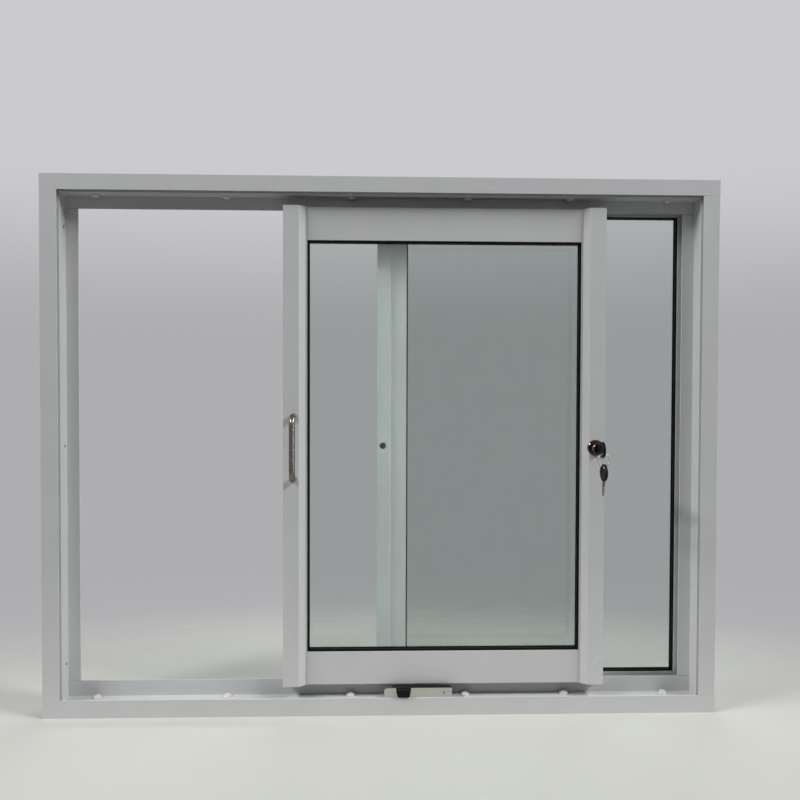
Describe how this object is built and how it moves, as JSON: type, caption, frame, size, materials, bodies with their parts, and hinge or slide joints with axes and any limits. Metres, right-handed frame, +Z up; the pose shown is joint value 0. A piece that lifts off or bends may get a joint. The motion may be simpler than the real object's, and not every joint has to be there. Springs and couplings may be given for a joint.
{
  "type": "horizontal sliding window",
  "caption": "White aluminium horizontal sliding window with a sliding sash in front of a fixed pane, a bow handle, a push lock with keys and a sill latch.",
  "frame": {"origin": "middle of the sill's underside, which the window stands on", "axes": "+Z up, the front of the window faces -Y, +X to the right seen from the front"},
  "size_m": [0.9, 0.1077, 0.718],
  "materials": {
    "frame": "white semi-gloss powder coat",
    "caps": "white moulded plastic",
    "gasket": "black extruded gasket",
    "glass": "clear float glass",
    "nylon": "natural nylon",
    "plated_steel": "nickel-plated steel",
    "satin_nickel": "satin nickel",
    "black_nickel": "black nickel plating",
    "black_plastic": "black moulded plastic",
    "latch_metal": "grey satin metal"
  },
  "bodies": {
    "frame": {"frame_sill": "frame", "frame_head": "frame", "frame_jamb_left": "frame", "frame_jamb_right": "frame", "sill_screw_caps": "caps", "head_screw_caps": "caps", "pane_rail_bottom": "frame", "pane_rail_top": "frame", "pane_stile_right": "frame", "pane_interlock_stile": "frame", "pane_gasket": "gasket", "pane_glass": "glass", "pane_rear_seal": "gasket", "latch_housing": "latch_metal", "latch_pin": "plated_steel"},
    "sash": {"sash_stile_left": "frame", "sash_stile_right": "frame", "sash_rail_bottom": "frame", "sash_rail_top": "frame", "sash_gasket": "gasket", "sash_glass": "glass", "roller_wheel_left": "nylon", "roller_bracket_left": "plated_steel", "roller_wheel_right": "nylon", "roller_bracket_right": "plated_steel", "sash_guide_left": "nylon", "sash_guide_right": "nylon", "pull_handle": "satin_nickel", "lock_barrel": "black_nickel"},
    "push_cylinder": {"lock_core": "black_nickel"},
    "key": {"lock_plug": "black_nickel", "key_bow": "black_plastic", "key_blade": "plated_steel", "key_ring": "plated_steel"},
    "spare_key": {"spare_key_bow": "black_plastic", "spare_key_blade": "plated_steel"},
    "latch": {"latch_lever": "black_plastic"}
  },
  "joints": [
    {"name": "sash_slide", "type": "slide", "parent": "frame", "child": "sash", "axis": [1, 0, 0], "range_m": [-0.2865, 0.1137]},
    {"name": "lock_push", "type": "slide", "parent": "sash", "child": "push_cylinder", "axis": [0, 1, 0], "range_m": [0, 0.0095]},
    {"name": "key_turn", "type": "hinge", "parent": "push_cylinder", "child": "key", "pos_m": [0.286, -0.0417, 0.359], "axis": [0, -1, 0], "range_deg": [0, 90]},
    {"name": "spare_hang", "type": "hinge", "parent": "key", "child": "spare_key", "pos_m": [0.286, -0.066, 0.34635], "axis": [0, -1, 0], "range_deg": [-90, 0]},
    {"name": "latch_lift", "type": "hinge", "parent": "frame", "child": "latch", "pos_m": [0.0822, -0.0227, 0.0298], "axis": [0, 1, 0], "range_deg": [0, 4]}
  ],
  "couplings": [
    {"joint": "spare_hang", "follows": "key_turn", "ratio": -1}
  ]
}
